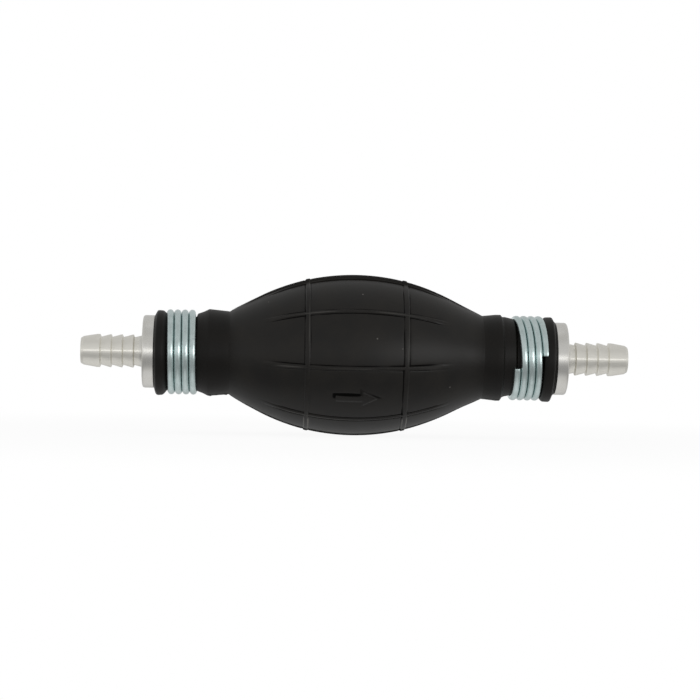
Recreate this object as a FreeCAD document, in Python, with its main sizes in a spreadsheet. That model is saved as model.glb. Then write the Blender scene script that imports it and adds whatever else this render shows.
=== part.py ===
import FreeCAD, Part
import math
import os
import Sketcher
from types import SimpleNamespace
from FreeCAD import Placement, Rotation, Vector

# Siphon bulb pump: a rubber bulb with a wire-clamped hose fitting and a one-way valve at each end.
# Row frame, millimetres: X is the flow axis with the outlet at +X, the photographed front faces -Y,
# +Z is up, and the origin is the middle of the bulb. Angles round the bulb are in degrees from the
# front towards the top. Sizes along the axis are distances from the middle of the bulb.

DRIVING_SIZES = {
    # Bulb: a meridian arc, then a straight cone down to a notch before the neck
    "belly_radius": 23.05,
    "meridian_arc": 60.6,
    "cone_angle": 26.6,
    "bulb_wall": 2.3,
    "notch_x": 36.4,
    "notch_radius": 12.25,
    # Neck: a collar, a step, the land that the wire grips and the round end bead
    "collar_x": 40.2,
    "collar_end_x": 41.9,
    "collar_radius": 12.7,
    "step_x": 42.9,
    "step_radius": 11.6,
    "land_x": 44.6,
    "land_radius": 10.15,
    "slope_radius": 10.8,
    "bead_x": 55.4,
    "bead_size": 1.7,
    "bead_centre_radius": 10.4,
    "neck_end_x": 57.3,
    "throat_x": 40.0,
    # Moulded ribs: two rings and eight that run lengthways, four to each mould half
    "rib_height": 0.35,
    "rib_base_width": 1.7,
    "rib_top_width": 0.9,
    "rib_reach": 26.5,
    "rib_end_height": 0.12,
    "ring_rib_x": 13.9,
    "first_rib_angle": 73.85,
    "rib_step_angle": 41.6,
    "ribs_per_half": 4,
    # Raised flow arrow
    "arrow_angle": -32.0,
    "arrow_tail_x": -5.85,
    "arrow_head_x": 1.7,
    "arrow_tip_x": 5.9,
    "arrow_shaft_width": 1.8,
    "arrow_head_width": 4.3,
    "arrow_skin_reach": 9.1,
    # Squeeze walls: the two panels of the bulb that a hand presses in
    "window_x": 12.9,
    "window_z": 15.5,
    "window_gap": 0.25,
    "window_inner_y": 8.0,
    "window_outer_y": 30.0,
    # Fitting: spigot with sawtooth ridges, flange and barbed stem
    "spigot_end_x": 38.0,
    "spigot_radius": 7.9,
    "ridge_radius": 8.3,
    "ridge_x": 42.5,
    "ridge_step": 4.0,
    "ridge_count": 3,
    "ridge_ramp": 2.0,
    "ridge_land": 0.3,
    "flange_end_x": 60.7,
    "flange_radius": 10.4,
    "flange_round": 0.5,
    "stem_end_radius": 4.6,
    "tip_x": 78.4,
    "tip_radius": 3.6,
    "tip_chamfer_length": 0.8,
    "tip_cone_radius": 4.15,
    "first_crest": 5.5,
    "first_land": 0.9,
    "barb_count": 4,
    "barb_pitch": 3.17,
    "barb_radius": 4.75,
    "barb_root_radius": 4.0,
    "barb_land": 0.25,
    "barb_step": 0.3,
    "edge_break": 0.4,
    # Passage through the fitting and the pocket that holds the valve
    "bore_radius": 2.8,
    "recess_radius": 4.6,
    "recess_x": 54.0,
    "shoulder_x": 52.0,
    "pocket_radius": 6.0,
    "ring_groove_x": 39.0,
    "ring_groove_width": 0.95,
    "ring_groove_radius": 6.5,
    # Valve, measured downstream from the seat's upstream face
    "valve_fit": 0.05,
    "seat_length": 3.0,
    "seat_hole_radius": 2.6,
    "seat_groove_x": 0.8,
    "seat_groove_width": 1.4,
    "seat_groove_radius": 5.0,
    "seal_gap": 0.02,
    "poppet_face_x": 3.25,
    "poppet_head_length": 1.6,
    "poppet_radius": 4.4,
    "seal_groove_radius": 3.7,
    "seal_groove_width": 1.0,
    "seal_groove_depth": 0.75,
    "seal_section": 0.48,
    "boss_radius": 1.7,
    "valve_lift": 2.0,
    "nose_radius": 2.0,
    "nose_x": 1.9,
    "nose_tip_radius": 1.2,
    "guide_radius": 1.2,
    "guide_end_x": 11.4,
    "cage_web_x": 9.3,
    "cage_web_end_x": 10.5,
    "cage_end_x": 12.05,
    "cage_inner_radius": 5.3,
    "cage_hub_radius": 2.1,
    "cage_slot_inner_radius": 2.15,
    "cage_slot_outer_radius": 4.9,
    "cage_slot_half_angle": 45.0,
    "cage_slot_count": 3,
    "spring_wire": 0.5,
    "spring_radius": 2.4,
    "spring_turns": 3.25,
    # Snap ring
    "ring_width": 0.9,
    "ring_outer_radius": 6.45,
    "ring_inner_radius": 5.35,
    "ring_gap_angle": 44.0,
    "lug_setback_angle": 8.4,
    "lug_radius": 0.95,
    "lug_centre_radius": 5.1,
    "lug_hole_radius": 0.45,
    # Wire clamps
    "clamp_wire": 1.65,
    "clamp_pitch": 2.1,
    "clamp_turns": 3.95,
    "clamp_seating": 0.02,
    "inlet_clamp_x": -53.0,
    "inlet_clamp_angle": 165.0,
    "inlet_clamp_tilt": -1.6,
    "outlet_clamp_x": 44.8,
    "outlet_clamp_angle": -15.0,
    "outlet_clamp_tilt": 6.0,
}

# How finely a wound wire is built and measured
SPANS_PER_TURN = 4
POINTS_PER_TURN = 72


class Size:
    """A size with the sheet expression that gives it, so that a sum of sizes stays bound to the sheet."""

    def __init__(self, number, text=None):
        self.number = float(number)
        self.text = text or f"{self.number:.6f}"

    def joined(self, other, sign, number):
        return Size(number, f"({self.text} {sign} {other.text})")

    def __add__(self, other):
        other = as_size(other)
        return self.joined(other, "+", self.number + other.number)

    def __sub__(self, other):
        other = as_size(other)
        return self.joined(other, "-", self.number - other.number)

    def __mul__(self, other):
        other = as_size(other)
        return self.joined(other, "*", self.number * other.number)

    def __truediv__(self, other):
        other = as_size(other)
        return self.joined(other, "/", self.number / other.number)

    def __neg__(self):
        return as_size(-1) * self

    def __radd__(self, other):
        return as_size(other) + self

    def __rsub__(self, other):
        return as_size(other) - self

    def __rmul__(self, other):
        return as_size(other) * self


def as_size(value):
    return value if isinstance(value, Size) else Size(value)


def root(value):
    return Size(math.sqrt(value.number), f"sqrt({value.text})")


def sine(angle):
    return Size(math.sin(math.radians(angle.number)), f"sin({angle.text})")


def cosine(angle):
    return Size(math.cos(math.radians(angle.number)), f"cos({angle.text})")


doc = FreeCAD.newDocument("siphon_bulb_pump")
sheet = doc.addObject("Spreadsheet::Sheet", "Sizes")
for row, (name, number) in enumerate(DRIVING_SIZES.items(), start=1):
    sheet.set(f"A{row}", name)
    sheet.set(f"B{row}", str(number))
    sheet.setAlias(f"B{row}", name)
doc.recompute()
dim = SimpleNamespace(**{name: Size(sheet.get(name), f"Sizes.{name}") for name in DRIVING_SIZES})


# Sketches and features

def origin_item(body, role):
    return [item for item in body.Origin.OriginFeatures if item.Role == role][0]


def sketch_on(body, name, role):
    sketch = body.newObject("Sketcher::SketchObject", name)
    sketch.AttachmentSupport = [(origin_item(body, role), "")]
    sketch.MapMode = "FlatFace"
    return sketch


def bind(sketch, constraint, size):
    """Add a constraint and tie its value to the sheet."""
    index = sketch.addConstraint(constraint)
    sketch.setExpression(f"Constraints[{index}]", size.text)


def arc_between(start, end, radius):
    """The arc under a half circle from start to end: a positive radius turns left, a negative one right."""
    middle = (start + end) / 2
    along = end - start
    to_left = Vector(-along.y, along.x, 0).normalize()
    rise = math.sqrt(radius * radius - (along.Length / 2) ** 2)
    centre = middle + to_left * math.copysign(rise, radius)
    first, last = (start, end) if radius > 0 else (end, start)
    from_angle = math.atan2(first.y - centre.y, first.x - centre.x)
    to_angle = math.atan2(last.y - centre.y, last.x - centre.x)
    if to_angle < from_angle:
        to_angle += 2 * math.pi
    circle = Part.Circle(centre, Vector(0, 0, 1), abs(radius))
    return Part.ArcOfCircle(circle, from_angle, to_angle)


def draw_outline(sketch, corners):
    """Draw a closed outline with every corner and radius bound to the sheet.

    A corner is (x, y), or (x, y, radius) where an arc leads to it: plus turns left, minus right.
    """
    corners = [tuple(as_size(value) for value in corner) for corner in corners]
    spots = [Vector(corner[0].number, corner[1].number, 0) for corner in corners]
    ends = []
    for index, corner in enumerate(corners):
        following = corners[(index + 1) % len(corners)]
        start = spots[index]
        end = spots[(index + 1) % len(corners)]
        if len(following) == 2:
            edge = sketch.addGeometry(Part.LineSegment(start, end))
            ends.append((edge, 1, 2))
            continue
        radius = following[2]
        edge = sketch.addGeometry(arc_between(start, end, radius.number))
        turns_left = radius.number > 0
        ends.append((edge, 1, 2) if turns_left else (edge, 2, 1))
        size = radius if turns_left else -radius
        bind(sketch, Sketcher.Constraint("Radius", edge, size.number), size)
    for index, (edge, first, last) in enumerate(ends):
        next_edge, next_first, _ = ends[(index + 1) % len(ends)]
        sketch.addConstraint(Sketcher.Constraint("Coincident", edge, last, next_edge, next_first))
        along, across = corners[index][:2]
        bind(sketch, Sketcher.Constraint("DistanceX", edge, first, along.number), along)
        bind(sketch, Sketcher.Constraint("DistanceY", edge, first, across.number), across)


def draw_circle(sketch, centre_x, centre_y, radius):
    circle = Part.Circle(Vector(centre_x.number, centre_y.number, 0), Vector(0, 0, 1), radius.number)
    edge = sketch.addGeometry(circle)
    bind(sketch, Sketcher.Constraint("Radius", edge, radius.number), radius)
    bind(sketch, Sketcher.Constraint("DistanceX", edge, 3, centre_x.number), centre_x)
    bind(sketch, Sketcher.Constraint("DistanceY", edge, 3, centre_y.number), centre_y)


def turned_body(label, corners, sweep=None):
    """A body turned about X from an outline whose corners are (distance along X, radius)."""
    body = doc.addObject("PartDesign::Body", label)
    sketch = sketch_on(body, f"{label}_outline", "XY_Plane")
    draw_outline(sketch, corners)
    turning = body.newObject("PartDesign::Revolution", f"{label}_turning")
    turning.Profile = sketch
    turning.ReferenceAxis = (sketch, ["H_Axis"])
    if sweep is None:
        turning.Angle = 360
    else:
        turning.setExpression("Angle", sweep.text)
        turning.Midplane = True
    doc.recompute()
    return body


def placed_along_x(thing, distance):
    thing.setExpression(".Placement.Base.x", distance.text)


# Bulb moulding

def meridian_radius(distance, raise_by=0):
    """Outer radius of the bulb at a distance along the axis, on the arc part of its profile."""
    arc = dim.meridian_arc + raise_by
    return root(arc * arc - distance * distance) + (dim.belly_radius - dim.meridian_arc)


def spigot_outline(start):
    """Corners of the sawtooth ridges from the spigot's inner end outwards, shared with the rubber on it."""
    corners = [start]
    for number in range(int(dim.ridge_count.number)):
        foot = dim.ridge_x + number * dim.ridge_step
        crest = foot + dim.ridge_ramp
        back = crest + dim.ridge_land
        corners += [(foot, dim.spigot_radius), (crest, dim.ridge_radius)]
        corners += [(back, dim.ridge_radius), (back, dim.spigot_radius)]
    return corners + [(dim.neck_end_x, dim.spigot_radius)]


def half_bulb_outline():
    cone_x = dim.meridian_arc * sine(dim.cone_angle)
    inner_arc = dim.meridian_arc - dim.bulb_wall
    inner_cone_x = inner_arc * sine(dim.cone_angle)
    inner_cone_radius = inner_arc * cosine(dim.cone_angle) + (dim.belly_radius - dim.meridian_arc)
    rib_start = dim.ring_rib_x - dim.rib_base_width / 2
    rib_end = dim.ring_rib_x + dim.rib_base_width / 2
    top_start = dim.ring_rib_x - dim.rib_top_width / 2
    top_end = dim.ring_rib_x + dim.rib_top_width / 2
    rib_top_radius = meridian_radius(dim.ring_rib_x) + dim.rib_height
    bead_top = dim.bead_centre_radius + dim.bead_size
    outside = [
        (0, dim.belly_radius - dim.bulb_wall),
        (0, dim.belly_radius),
        (rib_start, meridian_radius(rib_start), -dim.meridian_arc),
        (top_start, rib_top_radius),
        (top_end, rib_top_radius),
        (rib_end, meridian_radius(rib_end)),
        (cone_x, meridian_radius(cone_x), -dim.meridian_arc),
        (dim.notch_x, dim.notch_radius),
        (dim.collar_x, dim.collar_radius),
        (dim.collar_end_x, dim.collar_radius),
        (dim.step_x, dim.step_radius),
        (dim.land_x, dim.slope_radius),
        (dim.land_x, dim.land_radius),
        (dim.bead_x - dim.bead_size, dim.land_radius),
        (dim.bead_x - dim.bead_size, dim.bead_centre_radius),
        (dim.bead_x, bead_top, -dim.bead_size),
        (dim.bead_x + dim.bead_size, dim.bead_centre_radius, -dim.bead_size),
        (dim.neck_end_x, dim.bead_centre_radius - dim.edge_break),
    ]
    inside = spigot_outline((dim.throat_x, dim.spigot_radius))
    inside.reverse()
    return outside + inside + [(inner_cone_x, inner_cone_radius)]


def add_lengthwise_ribs(body):
    """Four ribs to each mould half: one padded for each half, then repeated round the axis."""
    ribs = []
    middle_radius = dim.belly_radius - dim.bulb_wall / 2
    end_radius = meridian_radius(dim.rib_reach)
    buried_end_radius = end_radius - dim.bulb_wall / 2
    top = middle_radius + dim.bulb_wall / 2 + dim.rib_height
    end_top = end_radius + dim.rib_end_height
    rise = top - end_top
    top_arc = (dim.rib_reach * dim.rib_reach + rise * rise) / (2 * rise)
    buried_rise = middle_radius - buried_end_radius
    buried_arc = (dim.rib_reach * dim.rib_reach + buried_rise * buried_rise) / (2 * buried_rise)
    for half, turn in (("front", 0), ("back", 180)):
        sketch = sketch_on(body, f"{half}_rib_outline", "XY_Plane")
        sketch.AttachmentOffset = Placement(Vector(), Rotation(Vector(1, 0, 0), turn))
        turned_by = 180 - dim.first_rib_angle + turn
        sketch.setExpression(".AttachmentOffset.Rotation.Angle", turned_by.text)
        draw_outline(sketch, [
            (-dim.rib_reach, buried_end_radius),
            (0, middle_radius, -buried_arc),
            (dim.rib_reach, buried_end_radius, -buried_arc),
            (dim.rib_reach, end_top),
            (0, top, top_arc),
            (-dim.rib_reach, end_top, top_arc),
        ])
        rib = body.newObject("PartDesign::Pad", f"{half}_rib")
        rib.Profile = sketch
        rib.Midplane = True
        rib.setExpression("Length", ((dim.rib_base_width + dim.rib_top_width) / 2).text)
        ribs.append(rib)
    doc.recompute()
    pattern = body.newObject("PartDesign::PolarPattern", "lengthwise_ribs")
    pattern.Originals = ribs
    pattern.Axis = (origin_item(body, "X_Axis"), [""])
    pattern.setExpression("Occurrences", dim.ribs_per_half.text)
    pattern.setExpression("Angle", (dim.rib_step_angle * (dim.ribs_per_half - 1)).text)
    body.Tip = pattern


def make_arrow():
    """The raised arrow: an arrow-shaped prism trimmed to a skin that follows the bulb."""
    prism = doc.addObject("PartDesign::Body", "arrow_prism")
    sketch = sketch_on(prism, "arrow_outline", "XY_Plane")
    sketch.AttachmentOffset = Placement(Vector(), Rotation(Vector(1, 0, 0), 90))
    sketch.setExpression(".AttachmentOffset.Rotation.Angle", (90 - dim.arrow_angle).text)
    half_shaft = dim.arrow_shaft_width / 2
    half_head = dim.arrow_head_width / 2
    draw_outline(sketch, [
        (dim.arrow_tail_x, -half_shaft),
        (dim.arrow_head_x, -half_shaft),
        (dim.arrow_head_x, -half_head),
        (dim.arrow_tip_x, 0),
        (dim.arrow_head_x, half_head),
        (dim.arrow_head_x, half_shaft),
        (dim.arrow_tail_x, half_shaft),
    ])
    pad = prism.newObject("PartDesign::Pad", "arrow_pad")
    pad.Profile = sketch
    pad.setExpression("Length", dim.window_outer_y.text)
    reach = dim.arrow_skin_reach
    buried_by = -dim.bulb_wall / 2
    skin = turned_body("arrow_skin", [
        (-reach, meridian_radius(reach, buried_by)),
        (reach, meridian_radius(reach, buried_by), -(dim.meridian_arc + buried_by)),
        (reach, meridian_radius(reach, dim.rib_height)),
        (-reach, meridian_radius(reach, dim.rib_height), dim.meridian_arc + dim.rib_height),
    ])
    arrow = doc.addObject("Part::Common", "flow_arrow")
    arrow.Base = prism
    arrow.Tool = skin
    return arrow


def window_box(label, side, gap):
    """The block of space that a squeeze wall slides in: side is -1 in front and 1 behind."""
    block = doc.addObject("Part::Box", label)
    half_x = dim.window_x - gap
    half_z = dim.window_z - gap
    depth = dim.window_outer_y - dim.window_inner_y
    nearest_y = dim.window_inner_y if side > 0 else -dim.window_outer_y
    block.setExpression("Length", (2 * half_x).text)
    block.setExpression("Width", depth.text)
    block.setExpression("Height", (2 * half_z).text)
    block.setExpression(".Placement.Base.x", (-half_x).text)
    block.setExpression(".Placement.Base.y", nearest_y.text)
    block.setExpression(".Placement.Base.z", (-half_z).text)
    return block


def make_bulb():
    shell = turned_body("bulb_shell", half_bulb_outline())
    mirror = shell.newObject("PartDesign::Mirrored", "bulb_mirror")
    mirror.Originals = [shell.getObject("bulb_shell_turning")]
    mirror.MirrorPlane = (origin_item(shell, "YZ_Plane"), [""])
    shell.Tip = mirror
    doc.recompute()
    add_lengthwise_ribs(shell)
    moulding = doc.addObject("Part::Fuse", "bulb_moulding")
    moulding.Base = shell
    moulding.Tool = make_arrow()
    windows = doc.addObject("Part::MultiFuse", "both_windows")
    windows.Shapes = [window_box("front_window", -1, 0), window_box("back_window", 1, 0)]
    body = doc.addObject("Part::Cut", "bulb_body")
    body.Base = moulding
    body.Tool = windows
    pieces = [body]
    for label, side in (("bulb_front_wall", -1), ("bulb_back_wall", 1)):
        wall = doc.addObject("Part::Common", label)
        wall.Base = moulding
        wall.Tool = window_box(f"{label}_block", side, dim.window_gap)
        pieces.append(wall)
    return pieces


# Fittings

def barb_outline():
    """Corners of the barbs from the flange out to the tip, whose own crest has a wider land."""
    corners = [(dim.flange_end_x, dim.stem_end_radius)]
    for number in reversed(range(int(dim.barb_count.number))):
        crest = dim.tip_x - dim.first_crest - number * dim.barb_pitch
        land = dim.barb_land if number else dim.first_land
        corners += [(crest - dim.barb_step, dim.barb_root_radius), (crest, dim.barb_radius)]
        corners += [(crest + land, dim.barb_radius)]
    return corners


def fitting_outline():
    groove_end = dim.ring_groove_x + dim.ring_groove_width
    round_start_x = dim.flange_end_x - dim.flange_round
    outside = spigot_outline((dim.spigot_end_x + dim.edge_break, dim.spigot_radius))
    outside = [(dim.spigot_end_x, dim.spigot_radius - dim.edge_break)] + outside
    outside += [
        (dim.neck_end_x, dim.flange_radius),
        (round_start_x, dim.flange_radius),
        (dim.flange_end_x, dim.flange_radius - dim.flange_round, -dim.flange_round),
    ]
    outside += barb_outline()
    outside += [
        (dim.tip_x - dim.tip_chamfer_length, dim.tip_cone_radius),
        (dim.tip_x, dim.tip_radius),
    ]
    passage = [
        (dim.tip_x, dim.bore_radius + dim.edge_break),
        (dim.tip_x - dim.edge_break, dim.bore_radius),
        (dim.recess_x, dim.bore_radius),
        (dim.recess_x, dim.recess_radius),
        (dim.shoulder_x, dim.recess_radius),
        (dim.shoulder_x, dim.pocket_radius),
        (groove_end, dim.pocket_radius),
        (groove_end, dim.ring_groove_radius),
        (dim.ring_groove_x, dim.ring_groove_radius),
        (dim.ring_groove_x, dim.pocket_radius),
        (dim.spigot_end_x, dim.pocket_radius),
    ]
    return outside + passage


def make_fittings():
    outlet = turned_body("outlet_fitting", fitting_outline())
    inlet = turned_body("inlet_fitting", fitting_outline())
    inlet.Placement = Placement(Vector(), Rotation(Vector(0, 0, 1), 180))
    return [outlet, inlet]


# Valves

def seat_corners():
    outer = dim.pocket_radius - dim.valve_fit
    groove_end = dim.seat_groove_x + dim.seat_groove_width
    return [
        (0, dim.seat_hole_radius + dim.edge_break),
        (0, outer),
        (dim.seat_groove_x, outer),
        (dim.seat_groove_x, dim.seat_groove_radius),
        (groove_end, dim.seat_groove_radius),
        (groove_end, outer),
        (dim.seat_length, outer),
        (dim.seat_length, dim.seat_hole_radius + dim.edge_break),
        (dim.seat_length - dim.edge_break, dim.seat_hole_radius),
        (dim.edge_break, dim.seat_hole_radius),
    ]


def poppet_corners():
    groove_inner = dim.seal_groove_radius - dim.seal_groove_width / 2
    groove_outer = dim.seal_groove_radius + dim.seal_groove_width / 2
    groove_floor = dim.poppet_face_x + dim.seal_groove_depth
    head_end = dim.poppet_face_x + dim.poppet_head_length
    stop_x = dim.cage_web_x - dim.valve_lift - dim.seal_gap
    return [
        (dim.nose_x, 0),
        (dim.nose_x, dim.nose_tip_radius),
        (dim.poppet_face_x, dim.nose_radius),
        (dim.poppet_face_x, groove_inner),
        (groove_floor, groove_inner),
        (groove_floor, groove_outer),
        (dim.poppet_face_x, groove_outer),
        (dim.poppet_face_x, dim.poppet_radius),
        (head_end, dim.poppet_radius),
        (head_end, dim.boss_radius),
        (stop_x, dim.boss_radius),
        (stop_x, dim.guide_radius),
        (dim.guide_end_x - dim.edge_break, dim.guide_radius),
        (dim.guide_end_x, dim.guide_radius - dim.edge_break),
        (dim.guide_end_x, 0),
    ]


def cage_corners():
    outer = dim.pocket_radius - dim.valve_fit
    guide_hole = dim.guide_radius + dim.valve_fit
    return [
        (dim.seat_length, dim.cage_inner_radius),
        (dim.seat_length, outer),
        (dim.cage_end_x, outer),
        (dim.cage_end_x, dim.cage_inner_radius),
        (dim.cage_web_end_x, dim.cage_inner_radius),
        (dim.cage_web_end_x, dim.cage_hub_radius),
        (dim.cage_end_x, dim.cage_hub_radius),
        (dim.cage_end_x, guide_hole),
        (dim.cage_web_x, guide_hole),
        (dim.cage_web_x, dim.cage_inner_radius),
    ]


def make_cage(label):
    """Sleeve, web and hub turned in one, then slots through the web for the flow."""
    body = turned_body(label, cage_corners())
    sketch = sketch_on(body, f"{label}_slot", "YZ_Plane")
    across = sine(dim.cage_slot_half_angle)
    along = cosine(dim.cage_slot_half_angle)
    inner = dim.cage_slot_inner_radius
    outer = dim.cage_slot_outer_radius
    draw_outline(sketch, [
        (inner * along, -(inner * across), -inner),
        (outer * along, -(outer * across)),
        (outer * along, outer * across, outer),
        (inner * along, inner * across),
    ])
    slot = body.newObject("PartDesign::Pocket", f"{label}_slot_cut")
    slot.Profile = sketch
    slot.Type = "ThroughAll"
    slot.Midplane = True
    doc.recompute()
    pattern = body.newObject("PartDesign::PolarPattern", f"{label}_slots")
    pattern.Originals = [slot]
    pattern.Axis = (origin_item(body, "X_Axis"), [""])
    pattern.setExpression("Occurrences", dim.cage_slot_count.text)
    pattern.Angle = 360
    body.Tip = pattern
    return body


def make_ring(label, centre_x, centre_radius, section):
    """An O-ring with a round section."""
    return turned_body(label, [
        (centre_x, centre_radius + section, -section),
        (centre_x + section, centre_radius, -section),
        (centre_x, centre_radius - section, -section),
        (centre_x - section, centre_radius, -section),
    ])


def make_snap_ring(label):
    """An open ring with two holed lugs beside its gap, seated in the spigot's groove."""
    start = -dim.ring_width / 2
    end = dim.ring_width / 2
    body = turned_body(label, [
        (start, dim.ring_inner_radius),
        (start, dim.ring_outer_radius),
        (end, dim.ring_outer_radius),
        (end, dim.ring_inner_radius),
    ], sweep=360 - dim.ring_gap_angle)
    lug_turn = 180 - dim.ring_gap_angle / 2 - dim.lug_setback_angle
    lug_y = dim.lug_centre_radius * cosine(lug_turn)
    lug_z = dim.lug_centre_radius * sine(lug_turn)
    features = (("lugs", "Pad", dim.lug_radius), ("lug_holes", "Pocket", dim.lug_hole_radius))
    for name, kind, radius in features:
        sketch = sketch_on(body, f"{label}_{name}_outline", "YZ_Plane")
        draw_circle(sketch, lug_y, lug_z, radius)
        draw_circle(sketch, lug_y, -lug_z, radius)
        feature = body.newObject(f"PartDesign::{kind}", f"{label}_{name}")
        feature.Profile = sketch
        feature.Midplane = True
        feature.setExpression("Length", dim.ring_width.text)
        doc.recompute()
    return body


# Wound wire

def coil_point(turn, shape):
    """Point and direction on a right-handed coil about X, its turns leaning so that y moves x."""
    angle = math.radians(shape.start_angle) + 2 * math.pi * turn
    y = shape.radius * math.cos(angle)
    z = shape.radius * math.sin(angle)
    x = shape.start_x + shape.pitch * turn - shape.lean * y
    point = Vector(x, y, z)
    direction = Vector(shape.pitch + shape.lean * 2 * math.pi * z, -2 * math.pi * z, 2 * math.pi * y)
    return point, direction.normalize()


def tangent_arc(start, corner, end):
    """The arc that leaves start towards corner and reaches end from it."""
    middle = (start + end) / 2
    half_chord = (end - start).Length / 2
    height = (corner - middle).Length
    half_turn = math.atan2(height, half_chord)
    bulge = half_chord * math.tan(half_turn / 2)
    return Part.Arc(start, middle + (corner - middle) * (bulge / height), end).toShape()


def biarc(start, start_direction, end, end_direction):
    """Two arcs, tangent to each other, from one point and direction to another."""
    gap = end - start
    both = start_direction + end_direction
    twist = 2 * (1 - start_direction.dot(end_direction))
    along = gap.dot(both)
    reach = (-along + math.sqrt(along * along + twist * gap.dot(gap))) / twist
    first_corner = start + start_direction * reach
    second_corner = end - end_direction * reach
    joint = (first_corner + second_corner) / 2
    return [tangent_arc(start, first_corner, joint), tangent_arc(joint, second_corner, end)]


def coil_solid(label, wire_size, shape):
    """One unbroken tube along the coil, built on biarcs of a quarter turn or less."""
    spans = math.ceil(shape.turns * SPANS_PER_TURN)
    marks = [coil_point(shape.turns * index / spans, shape) for index in range(spans + 1)]
    edges = []
    for (start, start_direction), (end, end_direction) in zip(marks, marks[1:]):
        edges += biarc(start, start_direction, end, end_direction)
    path = Part.Wire(edges)
    first_point, first_direction = marks[0]
    section = Part.Wire(Part.makeCircle(wire_size / 2, first_point, first_direction))
    pipe = Part.BRepOffsetAPI.MakePipeShell(path)
    pipe.add(section)
    pipe.build()
    pipe.makeSolid()
    solid = pipe.shape()
    gap = least_gap(path, wire_size, shape)
    expected = path.Length * math.pi * (wire_size / 2) ** 2
    print(f"{label}: least gap to itself {gap:.3f} mm, volume over wire {solid.Volume / expected:.4f}")
    return solid


def least_gap(path, wire_size, shape):
    """Least clear distance between stretches of the wire that are over half a turn apart."""
    points = path.discretize(Number=int(shape.turns * POINTS_PER_TURN))
    half_turn = POINTS_PER_TURN // 2
    nearest = min(
        points[index].distanceToPoint(other)
        for index in range(len(points))
        for other in points[index + half_turn:]
    )
    return nearest - wire_size


def make_clamp(label, start_x, start_angle, tilt):
    """Wire wound tight on the neck's land, so its turns lean along the axis but keep their radius."""
    wire_size = dim.clamp_wire.number
    shape = SimpleNamespace(
        radius=dim.land_radius.number + wire_size / 2 + dim.clamp_seating.number,
        pitch=dim.clamp_pitch.number,
        turns=dim.clamp_turns.number,
        start_x=start_x.number,
        start_angle=180 - start_angle.number,
        lean=math.tan(math.radians(tilt.number)),
    )
    clamp = doc.addObject("Part::Feature", label)
    clamp.Shape = coil_solid(label, wire_size, shape)
    return clamp


def make_valve_spring(label):
    """Spring between the poppet's head and the cage's web, clear of both by the seal gap."""
    wire_size = dim.spring_wire.number
    head_end = dim.poppet_face_x.number + dim.poppet_head_length.number
    start_x = head_end + wire_size / 2 + dim.seal_gap.number
    end_x = dim.cage_web_x.number - wire_size / 2 - dim.seal_gap.number
    turns = dim.spring_turns.number
    shape = SimpleNamespace(
        radius=dim.spring_radius.number,
        pitch=(end_x - start_x) / turns,
        turns=turns,
        start_x=start_x,
        start_angle=0,
        lean=0,
    )
    spring = doc.addObject("Part::Feature", label)
    spring.Shape = coil_solid(label, wire_size, shape)
    return spring


def make_valve(end, valve_x, ring_x):
    """The seven pieces of one valve, which opens along +X, with its seat's upstream face at valve_x."""
    seat_groove_middle = dim.seat_groove_x + dim.seat_groove_width / 2
    seat_ring_section = (dim.pocket_radius - dim.seat_groove_radius) / 2
    seal_x = dim.seat_length + dim.seal_gap + dim.seal_section
    pieces = [
        turned_body(f"{end}_valve_seat", seat_corners()),
        make_ring(f"{end}_seat_o_ring", seat_groove_middle, dim.seat_groove_radius + seat_ring_section,
                  seat_ring_section),
        turned_body(f"{end}_poppet", poppet_corners()),
        make_ring(f"{end}_poppet_seal", seal_x, dim.seal_groove_radius, dim.seal_section),
        make_valve_spring(f"{end}_valve_spring"),
        make_cage(f"{end}_valve_cage"),
    ]
    for piece in pieces:
        placed_along_x(piece, valve_x)
    snap_ring = make_snap_ring(f"{end}_snap_ring")
    placed_along_x(snap_ring, ring_x)
    return pieces + [snap_ring]


def make_pump():
    groove_end = dim.ring_groove_x + dim.ring_groove_width
    ring_middle = groove_end - dim.ring_width / 2
    pieces = make_bulb() + make_fittings()
    pieces += make_valve("inlet", -dim.shoulder_x, -ring_middle)
    pieces += make_valve("outlet", groove_end, ring_middle)
    for end in ("inlet", "outlet"):
        start_x = getattr(dim, f"{end}_clamp_x")
        start_angle = getattr(dim, f"{end}_clamp_angle")
        tilt = getattr(dim, f"{end}_clamp_tilt")
        pieces.append(make_clamp(f"{end}_clamp", start_x, start_angle, tilt))
    return pieces


pump_pieces = make_pump()
doc.recompute()

for item in doc.Objects:
    if "Invalid" in item.State or "Error" in item.State:
        raise RuntimeError(f"{item.Name} did not compute: {item.State}")
for piece in pump_pieces:
    if piece.Shape.isNull() or not piece.Shape.isValid() or not piece.Shape.Solids:
        raise RuntimeError(f"{piece.Label} has no valid solid")

os.makedirs("parts", exist_ok=True)
for piece in pump_pieces:
    piece.Shape.exportStep(f"parts/{piece.Label}.step")
    print(f"{piece.Label}: {len(piece.Shape.Solids)} solid, {piece.Shape.Volume:.1f} mm3")
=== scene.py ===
# %% [markdown]
# Siphon bulb pump, dressed for its picture.
#
# The pump is a rubber bulb with a turned aluminium hose fitting in each neck. Steel wire is wound
# round each neck to clamp it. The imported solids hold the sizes, the joints and the masses, and this
# lesson gives the same object its real surfaces: moulded rubber, turned metal and plated wire.
#
# Everything is in metres. X runs along the pump with the outlet at +X, the side in the picture
# faces -Y, and +Z is up. Angles round the bulb are in degrees from the front towards the top.

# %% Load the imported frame
import bpy
import bmesh
import math
from mathutils import Matrix, Vector, noise


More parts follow.
